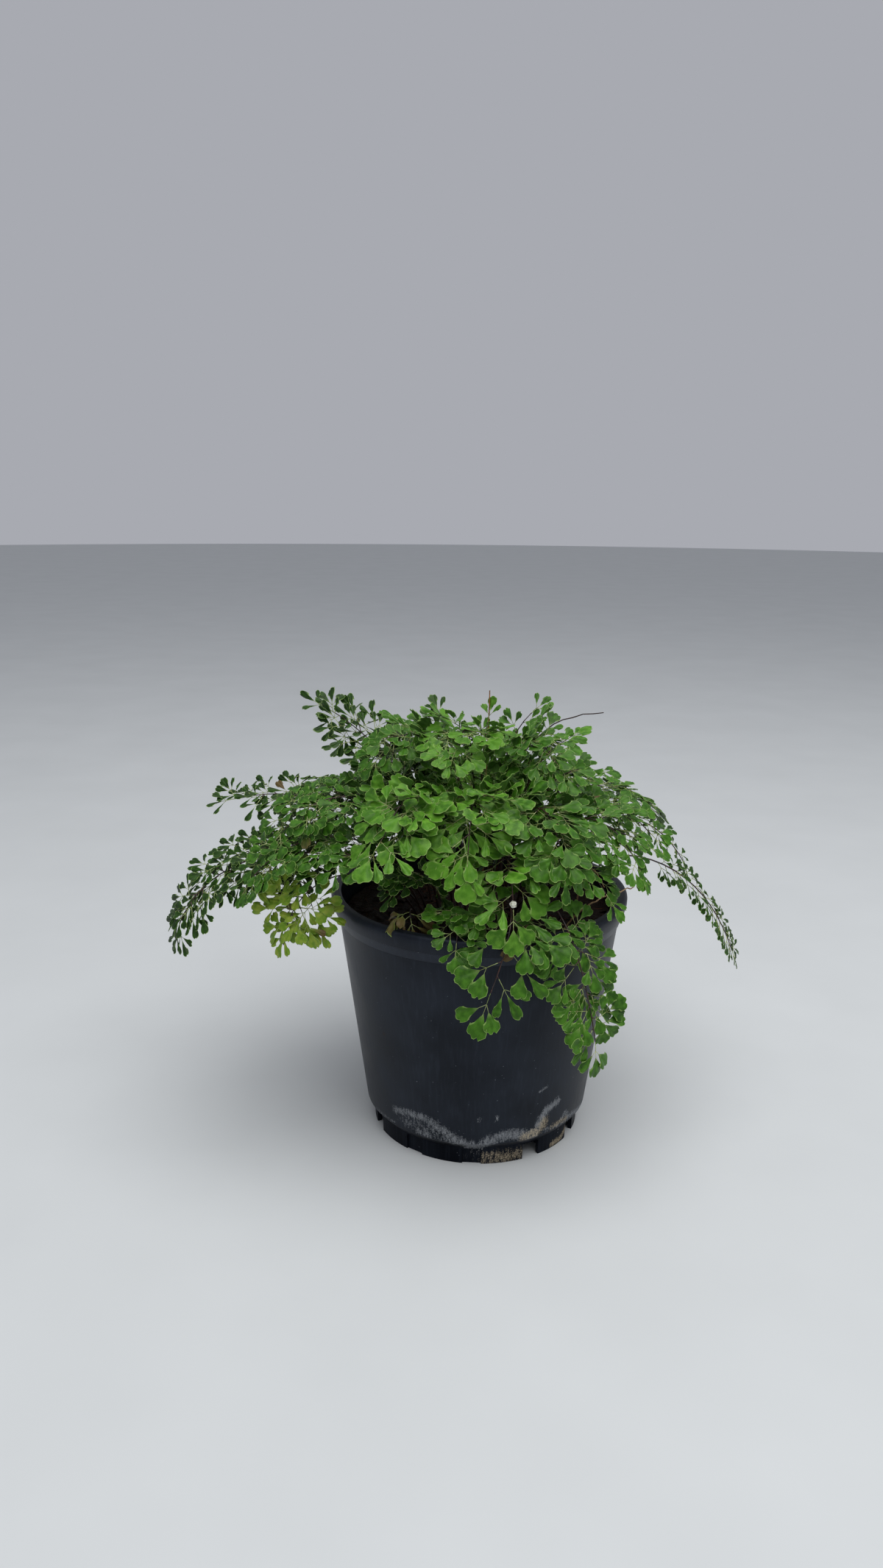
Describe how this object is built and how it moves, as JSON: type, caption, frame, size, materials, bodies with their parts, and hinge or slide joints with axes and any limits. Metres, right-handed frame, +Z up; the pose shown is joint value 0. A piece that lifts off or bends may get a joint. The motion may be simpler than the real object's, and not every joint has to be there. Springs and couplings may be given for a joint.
{
  "type": "potted maidenhair fern",
  "caption": "Maidenhair fern in a round nursery pot: arching fronds of small fan-shaped leaflets on wiry stems, with some trailing over the rim.",
  "frame": {"origin": "centre of the pot's base, on the surface that it stands on", "axes": "+Z up along the pot's axis, +X to the right and -Y towards the viewer"},
  "size_m": [0.2759, 0.1908, 0.2143],
  "materials": {
    "pot": "satin moulded polypropylene, scuffed, with lime marks near the base",
    "potting_mix": "dark bark and coir mix",
    "leaf_fresh": "soft fresh green leaf, pale at its edge",
    "leaf_green": "soft mid-green leaf, pale at its edge",
    "leaf_deep": "soft deep green leaf",
    "leaf_yellowing": "leaf turning yellow",
    "leaf_withered": "dry, curled leaf",
    "old_stem": "wiry dark stem",
    "dry_stalk": "dry tan stalk"
  },
  "bodies": {
    "root": {"pot": "pot", "potting_mix": "potting_mix", "frond_left_trailing": "leaf_deep", "frond_left_reaching": "leaf_deep", "frond_left_upright": "leaf_deep", "frond_left_middle": "leaf_green", "frond_left_yellowing": "leaf_yellowing", "frond_left_rim": "leaf_green", "frond_left_lower": "leaf_green", "frond_front_left_low": "leaf_deep", "frond_front_left": "leaf_fresh", "frond_front_middle": "leaf_fresh", "frond_front_bright": "leaf_fresh", "frond_withered": "leaf_withered", "frond_front_small": "leaf_green", "frond_front_right": "leaf_green", "frond_cascade_left": "leaf_green", "frond_cascade_right": "leaf_green", "frond_front_right_rim": "leaf_green", "frond_right_middle": "leaf_green", "frond_right_round": "leaf_green", "frond_right_rim": "leaf_green", "frond_right_upper": "leaf_green", "frond_right_trailing": "leaf_deep", "frond_right_short_trailing": "leaf_deep", "frond_top_left": "leaf_green", "frond_top_middle": "leaf_fresh", "frond_top_right": "leaf_green", "frond_top_dark": "leaf_deep", "frond_top_spire": "leaf_fresh", "frond_top_edge": "leaf_green", "frond_top_young": "leaf_fresh", "frond_back_far_left": "leaf_green", "frond_back_left": "leaf_green", "frond_back_middle": "leaf_green", "frond_back_right": "leaf_green", "frond_back_far_right": "leaf_green", "frond_back_inner_left": "leaf_green", "frond_back_inner_right": "leaf_green", "frond_back_low_left": "leaf_deep", "frond_back_low_right": "leaf_deep", "old_stem_upright": "old_stem", "old_stem_branching": "old_stem", "stalk_over_rim": "dry_stalk", "stalk_curved": "dry_stalk", "stalk_short": "dry_stalk"}
  },
  "joints": []
}
